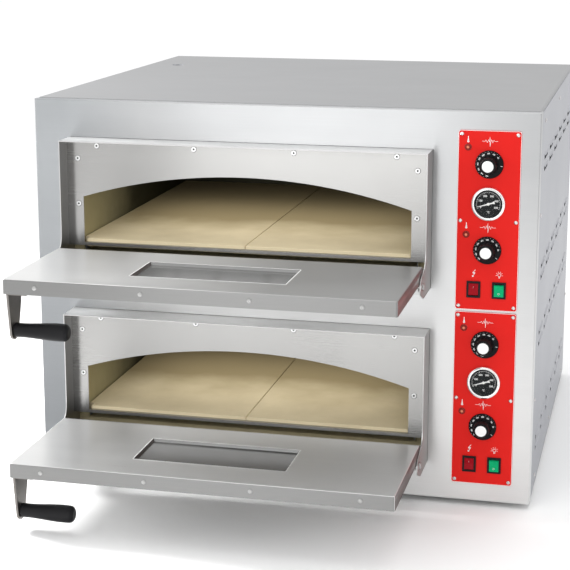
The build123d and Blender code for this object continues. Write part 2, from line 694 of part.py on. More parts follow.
def hinge_pins():
    """Headed pins, one in each ear, that the doors swing on."""
    with BuildPart() as part:
        for deck in decks.values():
            for side in (-1, 1):
                outer = deck_x + side * hood_w / 2
                seat = facing_side(outer, pivot_y, deck + pivot_up, side)
                revolved([(0, -12), (pivot_r, -12), (pivot_r, 0), (7.5, 0), (7.5, 1.2), (5.5, 3), (0, 3.4)],
                         seat)
    save(part, "hinge_pins")


def door_stops():
    """Short pins in the ears that the open doors rest on."""
    with BuildPart() as part:
        for deck in decks.values():
            for side in (-1, 1):
                outer = deck_x + side * hood_w / 2
                seat = facing_side(outer, stop_y, deck + stop_up, side)
                revolved([(0, -14), (stop_r, -14), (stop_r, 0), (4.6, 0), (4.2, 1.2), (0, 1.6)], seat)
    save(part, "door_stops")


# ---- controls -----------------------------------------------------------------------------------
def control_plates():
    """Coloured plates behind the controls, with rounded corners."""
    with BuildPart() as part:
        for deck in decks.values():
            mid = deck + plate_mid
            with BuildSketch(Plane.XZ.offset(-front)):
                with Locations((plate_x, mid)):
                    RectangleRounded(plate_w, plate_h, 5.0)
            extrude(amount=plate_t)
            control_holes(mid)
    save(part, "control_plates")


def control_plate_screws():
    with BuildPart() as part:
        for deck in decks.values():
            for x, up in plate_screw_places:
                seat = facing_front(plate_x + x, front - plate_t, deck + plate_mid + up)
                pan_head(seat, head_r=3.4, shank_r=1.6)
    save(part, "control_plate_screws")


def thermostats():
    """Bulb thermostats behind the fascia, bored for the knob spindles."""
    with BuildPart() as part:
        for deck in decks.values():
            for up in knob_heights.values():
                z = deck + plate_mid + up
                block(plate_x - 22, plate_x + 22, front + 6, front + 40, z - 17, z + 17)
                rod_y(plate_x, z, front + 2, front + 6, 9.0)
                rod_y(plate_x, z, front + 1, front + 24, spindle_r + running, mode=Mode.SUBTRACT)
    save(part, "thermostats")


def knob(name, z):
    """Skirted, fluted dial knob on its spindle; the seat for its cap is sunk in the end."""
    base = front - plate_t - 0.6
    out = facing_front(plate_x, base, z)
    with BuildPart() as part:
        revolved([(0, 0), (skirt_r, 0), (skirt_r, 1.6), (skirt_r - 1.2, skirt_t - 1.4), (18, skirt_t),
                  (16.5, skirt_t + 3), (14.5, knob_l - 2), (13, knob_l), (cap_r, knob_l),
                  (cap_r, knob_l - 2), (0, knob_l - 2)], out)
        flute_ring, flute_r = 17.4, 2.2
        for i in range(knob_flutes):
            angle = 2 * math.pi * (i + 0.5) / knob_flutes
            x, dz = plate_x + flute_ring * math.cos(angle), flute_ring * math.sin(angle)
            rod_y(x, z + dz, base - knob_l - 1, base - skirt_t - 1.5, flute_r, mode=Mode.SUBTRACT)
        rod_y(plate_x, z, base, front + 22, spindle_r)
        low, inner = knob_l - 2 + cap_gap, cap_r - cap_gap
        revolved([(0, low), (inner, low), (inner, knob_l + 0.2), (inner - 1, knob_l + 0.8),
                  (0, knob_l + 1)], out)
    save(part, f"{name}_knob")


def gauges():
    """Dial thermometers: case with its dial, bright bezel, glass, and a needle for each."""
    with BuildPart() as cases:
        for deck in decks.values():
            z = deck + plate_mid + gauge_up
            rod_y(plate_x, z, front - plate_t - 1.5, front + 30, gauge_case_r)
            rod_y(plate_x, z, front + 30, front + 42, 6.0)
            rod_y(plate_x, z, front - plate_t - 2, front + 0.5, 1.2, mode=Mode.SUBTRACT)
    save(cases, "gauge_cases")
    with BuildPart() as bezels:
        for deck in decks.values():
            seat = facing_front(plate_x, front - plate_t, deck + plate_mid + gauge_up)
            revolved([(26.2, 0), (gauge_r, 0), (gauge_r, 2.5), (gauge_r - 1.5, 5.5), (gauge_r - 3.5, 6.5),
                      (27.5, 6), (27.5, 4.6), (26.2, 4.6)], seat)
    save(bezels, "gauge_bezels")
    with BuildPart() as glasses:
        for deck in decks.values():
            z = deck + plate_mid + gauge_up
            rod_y(plate_x, z, front - plate_t - 5.8, front - plate_t - 4.7, 27.3)
    save(glasses, "gauge_glasses")
    for which, deck in decks.items():
        needle(which, deck + plate_mid + gauge_up)


def needle(which, z):
    """Pointer with a counterweight tail and a hub on its arbor."""
    y0 = front - plate_t - 3.2
    a = math.radians(needle_turn)
    toward = (-math.sin(a), math.cos(a))
    across = (toward[1], -toward[0])

    def at(along, side):
        return (plate_x + toward[0] * along + across[0] * side, z + toward[1] * along + across[1] * side)

    with BuildPart() as part:
        with BuildSketch(Plane.XZ.offset(-y0)):
            with BuildLine():
                Polyline(at(needle_l, 0.3), at(needle_l, -0.3), at(0, -1.4), at(-7, -1.2),
                         at(-needle_tail, -2.8), at(-needle_tail, 2.8), at(-7, 1.2), at(0, 1.4), close=True)
            make_face()
        extrude(amount=0.5)
        rod_y(plate_x, z, y0 - 1.0, y0, 2.6)
        rod_y(plate_x, z, y0, front - 0.2, 1.1)
    save(part, f"{which}_gauge_needle")


def switch_frames():
    """Rocker switch bodies with their bezels, open at the front for the rockers."""
    with BuildPart() as part:
        for deck in decks.values():
            z = deck + plate_mid + switch_up
            for side in (-1, 1):
                x = plate_x + side * switch_gap
                y0 = front - plate_t
                block(x - 12.75, x + 12.75, y0 - 2.5, y0, z - 15.5, z + 15.5)
                block(x - 10.8, x + 10.8, y0, y0 + 26, z - 13.8, z + 13.8)
                inner_w, inner_h = rocker_w / 2 + 0.3, rocker_h / 2 + 0.9
                block(x - inner_w, x + inner_w, y0 - 4, y0 + 19, z - inner_h, z + inner_h,
                      mode=Mode.SUBTRACT)
    save(part, "switch_frames")


def rocker(name, x, z, tip):
    """Rocker key with a shallow vee front, tilted to its resting side about its cross pin."""
    turn, end = math.radians(tip), rocker_h / 2
    pivot_depth, trunnion = front - plate_t + rocker_pivot, rocker_w / 2 + 0.2
    tilted = Plane(origin=(x - rocker_w / 2, pivot_depth, z),
                   x_dir=(0, math.cos(turn), math.sin(turn)), z_dir=(1, 0, 0))
    with BuildPart() as part:
        with BuildSketch(tilted):
            with BuildLine():
                Polyline((5, -8), (5, 8), (-4, end), (-8, end - 0.6), (-6.2, 0), (-8, 0.6 - end), (-4, -end),
                         close=True)
            make_face()
        extrude(amount=rocker_w)
        rod_x(x - trunnion, x + trunnion, pivot_depth, z, rocker_pin_r)
    save(part, name)


def pilot_lamps():
    """Neon indicator lenses with a collar, one beside each thermostat."""
    with BuildPart() as part:
        for deck in decks.values():
            for up in pilot_heights:
                seat = facing_front(plate_x + pilot_x, front - plate_t, deck + plate_mid + up)
                revolved([(0, -22), (pilot_r, -22), (pilot_r, 0), (6.4, 0), (6.4, 1.2), (5.4, 1.8),
                          (4.6, 1.8), (3.6, 3.2), (1.8, 4.0), (0, 4.2)], seat)
    save(part, "pilot_lamps")


def main():
    os.makedirs("parts", exist_ok=True)
    fascia()
    top_cover()
    steam_outlet()
    side_panel(-1, "left_side_panel")
    side_panel(1, "right_side_panel")
    back_panel()
    base_pan()
    rubber_feet()
    casing_screws()
    cable_gland()
    insulation()
    chamber_lamps()
    floor_tiles()
    floor_trays()
    heating_elements()
    deck_rails()
    terminal_block()
    wiring_looms()
    mouth_plate_screws()
    hinge_pins()
    door_stops()
    control_plates()
    control_plate_screws()
    thermostats()
    gauges()
    switch_frames()
    pilot_lamps()
    for which, deck in decks.items():
        mid = deck + plate_mid
        hood(which, deck)
        mouth_plate(which, deck)
        chamber_liner(which, deck)
        door_inner_skin(which, deck)
        door_outer_skin(which, deck)
        door_glass(which, deck)
        door_insulation(which, deck)
        door_fasteners(which, deck)
        handle_bracket(which, deck)
        handle_grip(which, deck)
        for heat, up in knob_heights.items():
            knob(f"{which}_{heat}", mid + up)
        rocker(f"{which}_power_rocker", plate_x - switch_gap, mid + switch_up, -rocker_tip)
        rocker(f"{which}_light_rocker", plate_x + switch_gap, mid + switch_up, rocker_tip)


main()
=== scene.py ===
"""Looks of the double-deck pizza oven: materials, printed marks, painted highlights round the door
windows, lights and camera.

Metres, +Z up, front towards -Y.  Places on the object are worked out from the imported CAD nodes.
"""

import math

import bmesh
import bpy
from mathutils import Matrix, Vector


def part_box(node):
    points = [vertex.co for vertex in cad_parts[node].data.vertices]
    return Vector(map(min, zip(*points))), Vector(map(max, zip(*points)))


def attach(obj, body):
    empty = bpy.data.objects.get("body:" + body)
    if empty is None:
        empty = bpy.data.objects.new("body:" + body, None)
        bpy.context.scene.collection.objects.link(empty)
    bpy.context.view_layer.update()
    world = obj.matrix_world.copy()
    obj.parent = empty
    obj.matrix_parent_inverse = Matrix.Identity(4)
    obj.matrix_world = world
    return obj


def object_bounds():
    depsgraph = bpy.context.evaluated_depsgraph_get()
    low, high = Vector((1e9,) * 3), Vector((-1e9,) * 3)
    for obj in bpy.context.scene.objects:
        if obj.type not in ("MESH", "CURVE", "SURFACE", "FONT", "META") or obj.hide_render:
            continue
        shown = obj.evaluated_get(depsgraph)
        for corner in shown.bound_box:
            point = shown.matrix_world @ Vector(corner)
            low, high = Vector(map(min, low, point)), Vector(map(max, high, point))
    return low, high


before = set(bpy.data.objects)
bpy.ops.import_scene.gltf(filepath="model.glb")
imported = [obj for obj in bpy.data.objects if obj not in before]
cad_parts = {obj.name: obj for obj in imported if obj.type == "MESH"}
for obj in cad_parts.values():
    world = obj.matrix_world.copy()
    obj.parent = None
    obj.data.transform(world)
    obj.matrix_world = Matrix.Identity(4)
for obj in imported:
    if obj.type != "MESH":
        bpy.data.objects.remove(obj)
cad_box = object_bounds()

MM = 0.001
DECKS = ("lower", "upper")
KNOBS = ("top_heat", "floor_heat")
PRINT_HEIGHT = 0.12 * MM

# Knob scale, turns in degrees clockwise from the top.  KNOB_GAP lies between the off mark and the first
# figure, and the figures run on anticlockwise.  The skirt slopes and stands out from the plate.
KNOB_OFF_TURN = {"top_heat": 95.0, "floor_heat": 128.0}
KNOB_GAP, KNOB_STEP, KNOB_FIGURES = 45.0, 27.5, 9
KNOB_FIGURE_RING = 20.6 * MM
KNOB_TICK_RING, KNOB_MARK_RING = (23.2 * MM, 24.4 * MM), (19.2 * MM, 24.2 * MM)
SKIRT_SLOPE, SKIRT_RISE = 11.6, 5.1 * MM

# Dial scale, its first figure at DIAL_START and its last as far past the top.
DIAL_START, DIAL_STEP, DIAL_FIGURES = -115.0, 46.0, 6
DIAL_FIGURE_RING, DIAL_TICK_RING = 15.6 * MM, 22 * MM

# Rocker keys: tilt of the whole key and slope of each half in degrees, place of a mark on its half.
KEY_TILT, KEY_SLOPE = 7.0, 9.6
KEY_PIVOT_DEPTH, KEY_MARK_OUT, KEY_MARK_UP = 9.2 * MM, 7.2 * MM, 5.4 * MM

# Coloured plates and the symbols above the knobs and switches.
PLATE_GAP, PLATE_CORNER = 4 * MM, 5 * MM
HEATER_RISE, SWITCH_RISE = 42.5 * MM, 30 * MM
THERMOMETER_SIDE, THERMOMETER_RISE = 39.5 * MM, 45 * MM

# Painted highlight round a door window's recess, and the rounding of sheet edges.
RIM_CORNER, RIM_OUT = 2 * MM, 1 * MM
EDGE_ROUNDING = 0.5 * MM

# Where the painted reflection and shade tones of the door and fascia sheets fade, in metres from the
# casing's left side, floor and top.
DOOR_FADE, FASCIA_FADE = (0.26, 0.56), (0.06, 0.22)
FASCIA_FOOT, FASCIA_HEAD = 0.12, 0.10

# Soft light under each chamber's roof: distance from the mouth, side length and power in watts.
GLOW_DEPTH, GLOW_SIDE, GLOW_POWER = 0.34, 0.56, 1.2

# Camera: distances from the oven's middle, the fascia's front face and the floor in metres, angles in
# radians, lens in millimetres.
CAMERA_RIGHT, CAMERA_BACK, CAMERA_UP = 0.704, 2.863, 1.114
CAMERA_DOWN, CAMERA_TURN, CAMERA_LENS, CAMERA_SHIFT = 0.205, 0.237, 100.1, -0.081


# ---- shader helpers -----------------------------------------------------------------------------
class Shader:
    """A material with a Principled shader, and short calls for the nodes that feed it."""

    def __init__(self, name, color=(0.8, 0.8, 0.8), metallic=0.0, roughness=0.5, **sockets):
        self.material = bpy.data.materials.new(name)
        self.material.use_nodes = True
        self.tree = self.material.node_tree
        self.shader = self.tree.nodes["Principled BSDF"]
        self.set("Base Color", (*color, 1.0))
        self.set("Metallic", metallic)
        self.set("Roughness", roughness)
        for socket, value in sockets.items():
            self.set(socket.replace("_", " "), value)
        self.place = self.node("ShaderNodeTexCoord").outputs["Object"]

    def set(self, socket, value):
        """A constant on one of the shader's sockets."""
        self.shader.inputs[socket].default_value = value

    def node(self, kind, **values):
        """A new node with its properties."""
        made = self.tree.nodes.new(kind)
        for name, value in values.items():
            setattr(made, name, value)
        return made

    def feed(self, socket, output):
        """Links an output to one of the shader's sockets."""
        self.tree.links.new(output, self.shader.inputs[socket])

    def scaled(self, scale):
        """Object coordinates, stretched along each axis."""
        mapping = self.node("ShaderNodeMapping")
        mapping.inputs["Scale"].default_value = scale
        self.tree.links.new(self.place, mapping.inputs["Vector"])
        return mapping.outputs["Vector"]

    def noise(self, scale=(1, 1, 1), size=1.0, detail=3.0, rough=0.55, distortion=0.0):
        """Noise between 0 and 1, stretched by scale."""
        noise = self.node("ShaderNodeTexNoise")
        noise.inputs["Scale"].default_value = size
        noise.inputs["Detail"].default_value = detail
        noise.inputs["Roughness"].default_value = rough
        noise.inputs["Distortion"].default_value = distortion
        self.tree.links.new(self.scaled(scale), noise.inputs["Vector"])
        return noise.outputs["Fac"]

    def remap(self, value, low, high, start=0.0, end=1.0):
        """value from start..end to low..high, clamped."""
        ramp = self.node("ShaderNodeMapRange")
        self.tree.links.new(value, ramp.inputs["Value"])
        limits = {"From Min": start, "From Max": end, "To Min": low, "To Max": high}
        for socket, number in limits.items():
            ramp.inputs[socket].default_value = number
        return ramp.outputs["Result"]

    def blend(self, factor, first, second):
        """A colour between two, which are tuples or outputs."""
        mix = self.node("ShaderNodeMix", data_type="RGBA")
        self.tree.links.new(factor, mix.inputs[0])
        for socket, value in ((mix.inputs[6], first), (mix.inputs[7], second)):
            if isinstance(value, tuple):
                socket.default_value = (*value, 1.0)
            else:
                self.tree.links.new(value, socket)
        return mix.outputs[2]

    def combine(self, operation, first, second):
        """Maths on two values, which are numbers or outputs."""
        maths = self.node("ShaderNodeMath", operation=operation)
        for socket, value in zip(maths.inputs, (first, second)):
            if isinstance(value, (int, float)):
                socket.default_value = value
            else:
                self.tree.links.new(value, socket)
        return maths.outputs["Value"]

    def facing(self, axis):
        """How squarely the surface faces along X, Y or Z, from 0 to 1."""
        split = self.node("ShaderNodeSeparateXYZ")
        self.tree.links.new(self.node("ShaderNodeNewGeometry").outputs["Normal"], split.inputs[0])
        return self.combine("ABSOLUTE", split.outputs[axis], 0.0)

    def tone(self, color, gain):
        """A colour, a tuple or an output, made lighter or darker by a value."""
        scaled = self.node("ShaderNodeVectorMath", operation="SCALE")
        if isinstance(color, tuple):
            scaled.inputs[0].default_value = color
        else:
            self.tree.links.new(color, scaled.inputs[0])
        self.tree.links.new(gain, scaled.inputs["Scale"])
        return scaled.outputs[0]

    def along(self, axis):
        """One object coordinate in metres, axis being X, Y or Z."""
        split = self.node("ShaderNodeSeparateXYZ")
        self.tree.links.new(self.place, split.inputs[0])
        return split.outputs[axis]

    def bump(self, height, strength, distance):
        """Fine relief from a height output."""
        bump = self.node("ShaderNodeBump")
        bump.inputs["Strength"].default_value = strength
        bump.inputs["Distance"].default_value = distance
        self.tree.links.new(height, bump.inputs["Height"])
        self.feed("Normal", bump.outputs["Normal"])


def tinted(color, gain):
    """A colour made lighter or darker by a number."""
    return tuple(min(channel * gain, 1.0) for channel in color)


def brushed(name, color, roughness, grain="X", ends=None, front=None, top=None, anisotropy=0.5,
            scatter=0.0, corners=None, right=None):
    """Brushed sheet steel, its grain along X, Y or Z, with faint wiping marks.

    ends, front and top are painted shade and light: the tones of the faces turned to the sides, the
    front and the top, set by how light falls on them; scatter is the share of matt reflection; corners
    are the fascia's painted reflection and shade tones at its upper left, lower left and lower right;
    right is a door sheet's painted reflection and shade tone towards its right end.
    """
    made = Shader(name, color, metallic=1.0 - scatter, roughness=roughness, Anisotropic=anisotropy)
    across = made.node("ShaderNodeTangent", direction_type="RADIAL", axis=grain)
    made.feed("Tangent", across.outputs["Tangent"])
    fine = tuple(6.0 if axis == grain else 1500.0 for axis in "XYZ")
    broad = tuple(0.6 if axis == grain else 24.0 for axis in "XYZ")
    hair, band = made.noise(fine, detail=2.0), made.noise(broad, detail=2.0)
    smear = made.noise((1, 1, 1), size=4.0, detail=4.0)
    low, high = cad_box
    # Painted reflection and shade: the door sheet turns to its right tone towards its right end.
    if right:
        run = made.remap(made.along("X"), 0, 1, *(low.x + step for step in DOOR_FADE))
        color = made.blend(run, color, right)
    # Painted shade and light: faces turned to the sides, the front or the top take their own tone.
    for axis, tone in (("X", ends), ("Y", front), ("Z", top)):
        if tone:
            square = made.remap(made.facing(axis), 0, 1, 0.80, 0.86)
            color = made.blend(square, color, tone)
    # Painted reflection and shade: the fascia's corners take their own tones, faded in by height and from
    # the left.
    if corners:
        upper_left, lower_left, lower_right = corners
        rise = made.remap(made.along("Z"), 0, 1, low.z + FASCIA_FOOT, high.z - FASCIA_HEAD)
        run = made.remap(made.along("X"), 0, 1, *(low.x + step for step in FASCIA_FADE))
        left = made.blend(rise, lower_left, upper_left)
        color = made.blend(run, left, made.blend(rise, lower_right, color))
    streak = made.combine("ADD", made.combine("MULTIPLY", hair, 0.6), made.combine("MULTIPLY", band, 0.4))
    shade = made.remap(streak, 0.955, 1.04, 0.3, 0.7)
    made.feed("Base Color", made.tone(color, shade))
    wiped = made.combine("ADD", made.remap(streak, -0.02, 0.03, 0.3, 0.7),
                         made.remap(smear, roughness - 0.02, roughness + 0.04, 0.3, 0.75))
    made.feed("Roughness", wiped)
    made.bump(hair, 0.04, 0.02 * MM)
    return made.material


def zinc_sheet():
    """Spangled zinc-coated sheet."""
    made = Shader("zinc_sheet", (0.5, 0.51, 0.53), metallic=1.0, roughness=0.42)
    cells = made.node("ShaderNodeTexVoronoi")
    cells.inputs["Scale"].default_value = 90.0
    made.tree.links.new(made.place, cells.inputs["Vector"])
    shade = made.node("ShaderNodeSeparateColor")
    made.tree.links.new(cells.outputs["Color"], shade.inputs[0])
    made.feed("Base Color", made.blend(shade.outputs[0], (0.42, 0.43, 0.45), (0.56, 0.57, 0.59)))
    made.feed("Roughness", made.remap(shade.outputs[1], 0.34, 0.5))
    return made.material


def liner_steel():
    """Chamber sheet, straw-tinted by heat near the mouth and darker towards the back: soot, and painted
    shade deep in the chamber.
    """
    made = Shader("liner_steel", (0.5, 0.46, 0.3), metallic=0.55, roughness=0.5)
    run = made.along("Y")
    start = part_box("upper_chamber_liner")[0].y
    clouds = made.noise((1, 1, 1), size=9.0, detail=5.0)
    # Painted shade, with soot: the sheet darkens almost to black further into the chamber.
    wavy = made.combine("ADD", run, made.remap(clouds, -0.06, 0.06))
    deep = made.remap(wavy, 0, 1, start - 0.05, start + 0.3)
    straw = made.blend(clouds, (0.54, 0.49, 0.28), (0.62, 0.56, 0.34))
    made.feed("Base Color", made.blend(deep, straw, (0.03, 0.028, 0.012)))
    made.feed("Roughness", made.remap(clouds, 0.42, 0.62, 0.3, 0.7))
    made.bump(made.noise((1, 1, 1), size=160.0, detail=2.0), 0.1, 0.1 * MM)
    return made.material


def fired_clay():
    """Refractory slab: sandy, pitted, pale at the mouth and browner and darker further in: browned by
    heat, and painted shade deep in the chamber.
    """
    made = Shader("fired_clay", (0.8, 0.74, 0.56), roughness=0.9, Specular_IOR_Level=0.25)
    run = made.along("Y")
    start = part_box("floor_tiles")[0].y
    sand = made.noise((1, 1, 1), size=850.0, detail=2.0)
    clouds = made.noise((1, 1, 1), size=6.0, detail=6.0)
    pale = made.blend(made.remap(sand, 0, 1, 0.35, 0.65), (0.80, 0.68, 0.44), (0.92, 0.80, 0.56))
    # Heat browning and painted shade: the slab turns darker and browner further into the chamber.
    browned_shaded_clay = made.blend(made.remap(sand, 0, 1, 0.35, 0.65), (0.27, 0.21, 0.105), (0.35, 0.275, 0.145))
    wavy = made.combine("ADD", run, made.remap(clouds, -0.12, 0.12))
    browned_and_shaded = made.remap(wavy, 0, 1, start, start + 0.28)
    made.feed("Base Color", made.blend(browned_and_shaded, pale, browned_shaded_clay))
    pits = made.noise((1, 1, 1), size=300.0, detail=3.0, rough=0.7)
    made.bump(made.combine("ADD", sand, pits), 0.25, 0.3 * MM)
    return made.material


def lacquer():
    """Satin red lacquer with a very fine orange-peel."""
    made = Shader("red_lacquer", (0.67, 0.012, 0.009), roughness=0.5, Specular_IOR_Level=0.12)
    peel = made.noise((1, 1, 1), size=700.0, detail=2.0)
    clouds = made.noise((1, 1, 1), size=14.0, detail=3.0)
    made.feed("Base Color", made.blend(clouds, (0.64, 0.011, 0.008), (0.70, 0.014, 0.010)))
    made.feed("Roughness", made.remap(clouds, 0.45, 0.55))
    made.bump(peel, 0.08, 0.05 * MM)
    return made.material


def moulded(name, color, roughness=0.42, grain=1400.0, depth=0.2):
    """Moulded plastic with a fine spark-eroded grain and rubbed patches."""
    made = Shader(name, color, roughness=roughness, Specular_IOR_Level=0.1)
    speck = made.noise((1, 1, 1), size=grain, detail=2.0)
    rubbed = made.noise((1, 1, 1), size=25.0, detail=3.0)
    made.feed("Base Color", made.blend(rubbed, tinted(color, 0.85), tinted(color, 1.2)))
    made.feed("Roughness", made.remap(rubbed, roughness - 0.07, roughness + 0.08, 0.3, 0.7))
    made.bump(speck, depth, 0.06 * MM)
    return made.material


def plated(name, color, roughness, metallic=1.0):
    """Turned and plated small metal."""
    made = Shader(name, color, metallic=metallic, roughness=roughness)
    tarnish = made.noise((1, 1, 1), size=120.0, detail=3.0)
    made.feed("Base Color", made.blend(tarnish, tinted(color, 0.9), tinted(color, 1.06)))
    made.feed("Roughness", made.remap(tarnish, roughness - 0.05, roughness + 0.08, 0.3, 0.7))
    return made.material


def clear(name, color, through, roughness=0.03, film=1.0, shine=0.5):
    """Clear or smoked glass.

    through is the share of light that it bends through, film its opacity, shine the strength of its
    reflections.
    """
    made = Shader(name, color, roughness=roughness, Transmission_Weight=through, IOR=1.47, Alpha=film,
                  Specular_IOR_Level=shine)
    dust = made.noise((1, 1, 1), size=60.0, detail=4.0)
    made.feed("Roughness", made.remap(dust, roughness, roughness + 0.05, 0.45, 0.8))
    return made.material


def lens(name, color, glow):
    """Coloured, faintly glowing plastic with a swirl in it."""
    made = Shader(name, color, roughness=0.3, Specular_IOR_Level=0.06)
    made.set("Emission Color", (*color, 1.0))
    made.set("Emission Strength", glow)
    swirl = made.noise((1, 1, 1), size=260.0, detail=3.0)
    made.feed("Base Color", made.blend(swirl, tinted(color, 0.7), tinted(color, 1.3)))
    made.bump(swirl, 0.05, 0.1 * MM)
    return made.material


def neon_lens():
    """Amber indicator lens, dark red round its rim and pale at its raised tip."""
    made = Shader("neon_lens", (0.4, 0.03, 0.01), roughness=0.25, Specular_IOR_Level=0.3)
    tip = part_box("pilot_lamps")[0].y
    rim = made.remap(made.along("Y"), 0.0, 1.0, tip + 0.2 * MM, tip + 0.7 * MM)
    swirl = made.noise((1, 1, 1), size=400.0, detail=3.0)
    made.feed("Base Color", made.blend(rim, (0.66, 0.20, 0.10), (0.22, 0.010, 0.006)))
    made.feed("Roughness", made.remap(swirl, 0.18, 0.35))
    made.bump(swirl, 0.05, 0.1 * MM)
    return made.material


def wool():
    """Matted mineral fibre."""
    made = Shader("mineral_wool", (0.6, 0.52, 0.3), roughness=0.95)
    fibre = made.noise((1, 6, 14), size=60.0, detail=6.0, distortion=1.5)
    made.feed("Base Color", made.blend(fibre, (0.45, 0.38, 0.2), (0.72, 0.64, 0.42)))
    made.bump(fibre, 0.8, 2 * MM)
    return made.material


# ---- mesh helpers -------------------------------------------------------------------------------
def linked(mesh_or_curve, name):
    """A new object in the scene."""
    made = bpy.data.objects.new(name, mesh_or_curve)
    bpy.context.scene.collection.objects.link(made)
    return made


def flattened(source, placed):
    """A curve or text object turned into a mesh at a place."""
    bpy.context.view_layer.update()
    mesh = bpy.data.meshes.new_from_object(source.evaluated_get(bpy.context.evaluated_depsgraph_get()))
    mesh.transform(placed)
    data = source.data
    bpy.data.objects.remove(source)
    bpy.data.curves.remove(data)
    return mesh


def facing_front(x, y, z):
    """Local X right, Y up and Z out of the front, from a point."""
    return Matrix(((1, 0, 0, x), (0, 0, -1, y), (0, 1, 0, z), (0, 0, 0, 1)))


def text_mesh(words, height, placed):
    """Thin raised lettering, centred."""
    data = bpy.data.curves.new("words", "FONT")
    data.body = words
    data.size = height
    data.extrude = 0.04 * MM
    data.offset = 0.025 * height
    data.align_x = "CENTER"
    data.align_y = "CENTER"
    return flattened(linked(data, "words"), placed)


def stroke_mesh(lines, width, placed):
    """Thin printed strokes along polylines of (x, y) points."""
    data = bpy.data.curves.new("strokes", "CURVE")
    data.dimensions = "3D"
    data.bevel_depth = width / 2
    data.bevel_resolution = 1
    data.use_fill_caps = True
    for points in lines:
        line = data.splines.new("POLY")
        line.points.add(len(points) - 1)
        for point, (x, y) in zip(line.points, points):
            point.co = (x, y, 0, 1)
    flat = Matrix.Diagonal((1, 1, PRINT_HEIGHT / width, 1))
    return flattened(linked(data, "strokes"), placed @ flat)


def joined(meshes, name, material, body):
    """Several meshes as one piece that rides on a body."""
    made = bmesh.new()
    for mesh in meshes:
        made.from_mesh(mesh)
        bpy.data.meshes.remove(mesh)
    whole = bpy.data.meshes.new(name)
    made.to_mesh(whole)
    made.free()
    whole.materials.append(material)
    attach(linked(whole, name), body)


def ring_points(radius, start, end, steps):
    """Points on an arc, angles in degrees clockwise from the top."""
    angles = [math.radians(start + (end - start) * i / steps) for i in range(steps + 1)]
    return [(radius * math.sin(a), radius * math.cos(a)) for a in angles]


def spoke(angle, inner, outer):
    """A short radial line, its angle in degrees clockwise from the top."""
    a = math.radians(angle)
    return [(r * math.sin(a), r * math.cos(a)) for r in (inner, outer)]


def soften(node):
    """Merges a CAD node's flat facets and rounds its sharp edges."""
    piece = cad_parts[node]
    flat = piece.modifiers.new("flat", "DECIMATE")
    flat.decimate_type = "DISSOLVE"
    flat.angle_limit = math.radians(0.5)
    edge = piece.modifiers.new("edge", "BEVEL")
    edge.width = EDGE_ROUNDING
    edge.segments = 2
    edge.limit_method = "ANGLE"
    edge.angle_limit = math.radians(35)
    edge.use_clamp_overlap = True
    edge.harden_normals = True


def dress(material, *nodes):
    """Gives CAD nodes a material."""
    for name in nodes:
        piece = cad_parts[name]
        for place in piece.material_slots:
            place.material = material
        if not piece.material_slots:
            piece.data.materials.append(material)


def both(name):
    """The names of a part's nodes on the two decks."""
    return [f"{deck}_{name}" for deck in DECKS]


def centre(node):
    """The middle of a CAD node's box."""
    low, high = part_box(node)
    return (low + high) / 2


